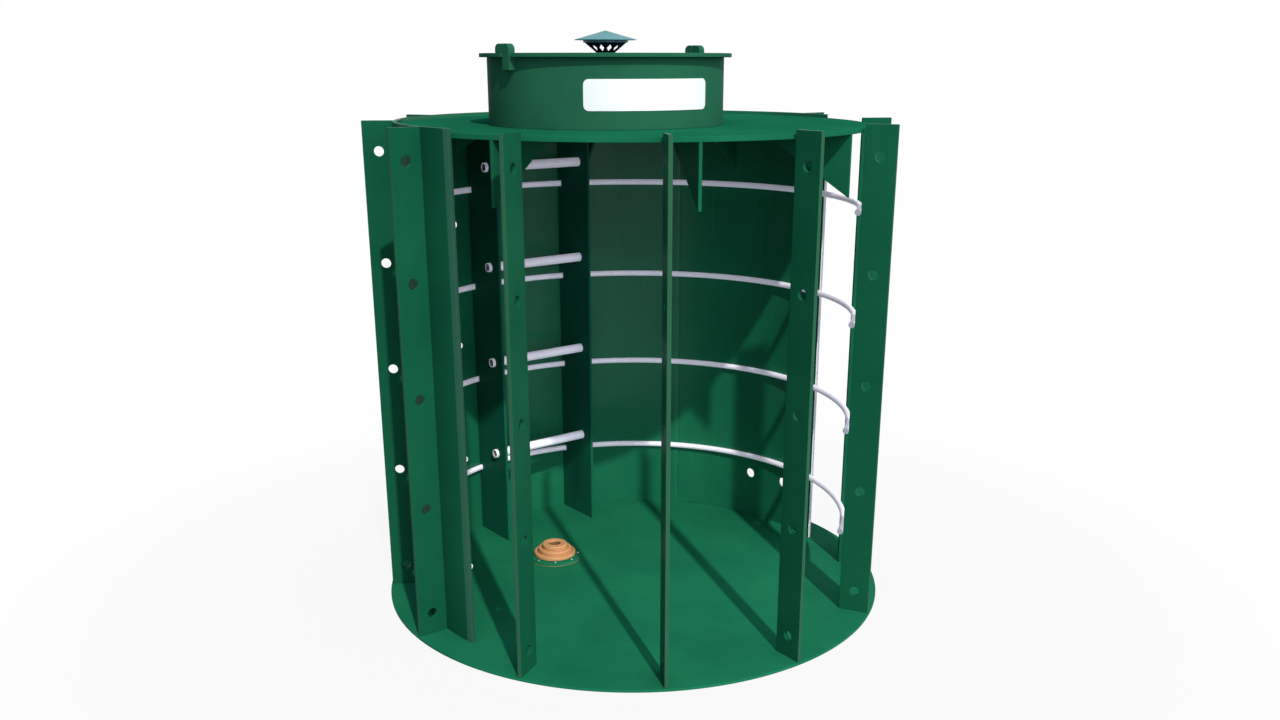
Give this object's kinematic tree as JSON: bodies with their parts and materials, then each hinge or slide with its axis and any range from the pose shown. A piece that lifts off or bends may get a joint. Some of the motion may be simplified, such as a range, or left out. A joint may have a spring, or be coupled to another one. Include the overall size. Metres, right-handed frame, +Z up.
{
  "type": "plastic caisson",
  "caption": "Round free-standing plastic chamber, cut open at the front, with outside ribs, a ladder, inner hoops, a pipe seal in the floor and a hinged, vented lid on an off-centre neck.",
  "frame": {"origin": "middle of the underside of the round floor plate", "axes": "+Z up, -Y towards the front of the cutaway, +X to the right seen from the front"},
  "size_m": [2.0098, 2.0098, 2.1663],
  "materials": {
    "green_plastic": "smooth gloss",
    "pale_pipe": "satin",
    "orange_rubber": "soft matte",
    "dark_vent": "matte",
    "vent_cap": "matte"
  },
  "bodies": {
    "caisson": {"floor_plate": "green_plastic", "wall_right_low": "green_plastic", "wall_right": "green_plastic", "wall_back_right": "green_plastic", "wall_back_left": "green_plastic", "wall_left": "green_plastic", "rib_01": "green_plastic", "rib_02": "green_plastic", "rib_03": "green_plastic", "rib_04": "green_plastic", "rib_05": "green_plastic", "rib_06": "green_plastic", "rib_07": "green_plastic", "rib_08": "green_plastic", "rib_09": "green_plastic", "rib_10": "green_plastic", "rib_11": "green_plastic", "rib_12": "green_plastic", "roof_plate": "green_plastic", "roof_gussets": "green_plastic", "neck": "green_plastic", "hinge_bracket": "green_plastic", "hinge_pin": "green_plastic", "hasp_bracket": "green_plastic", "stringer_left": "green_plastic", "stringer_right": "green_plastic", "rung_1": "pale_pipe", "rung_2": "pale_pipe", "rung_3": "pale_pipe", "rung_4": "pale_pipe", "hoop_1": "pale_pipe", "hoop_2": "pale_pipe", "hoop_3": "pale_pipe", "hoop_4": "pale_pipe", "seal_flange": "green_plastic", "seal_boot": "orange_rubber"},
    "lid": {"lid": "green_plastic", "hinge_knuckle": "green_plastic", "hasp_block": "green_plastic", "vent_cage": "dark_vent", "vent_cap": "vent_cap"}
  },
  "joints": [
    {"name": "lid_hinge", "type": "hinge", "parent": "caisson", "child": "lid", "pos_m": [-0.44119, -0.37997, 2.1043], "axis": [0.6428, -0.766, 0], "range_deg": [0, 100]}
  ]
}
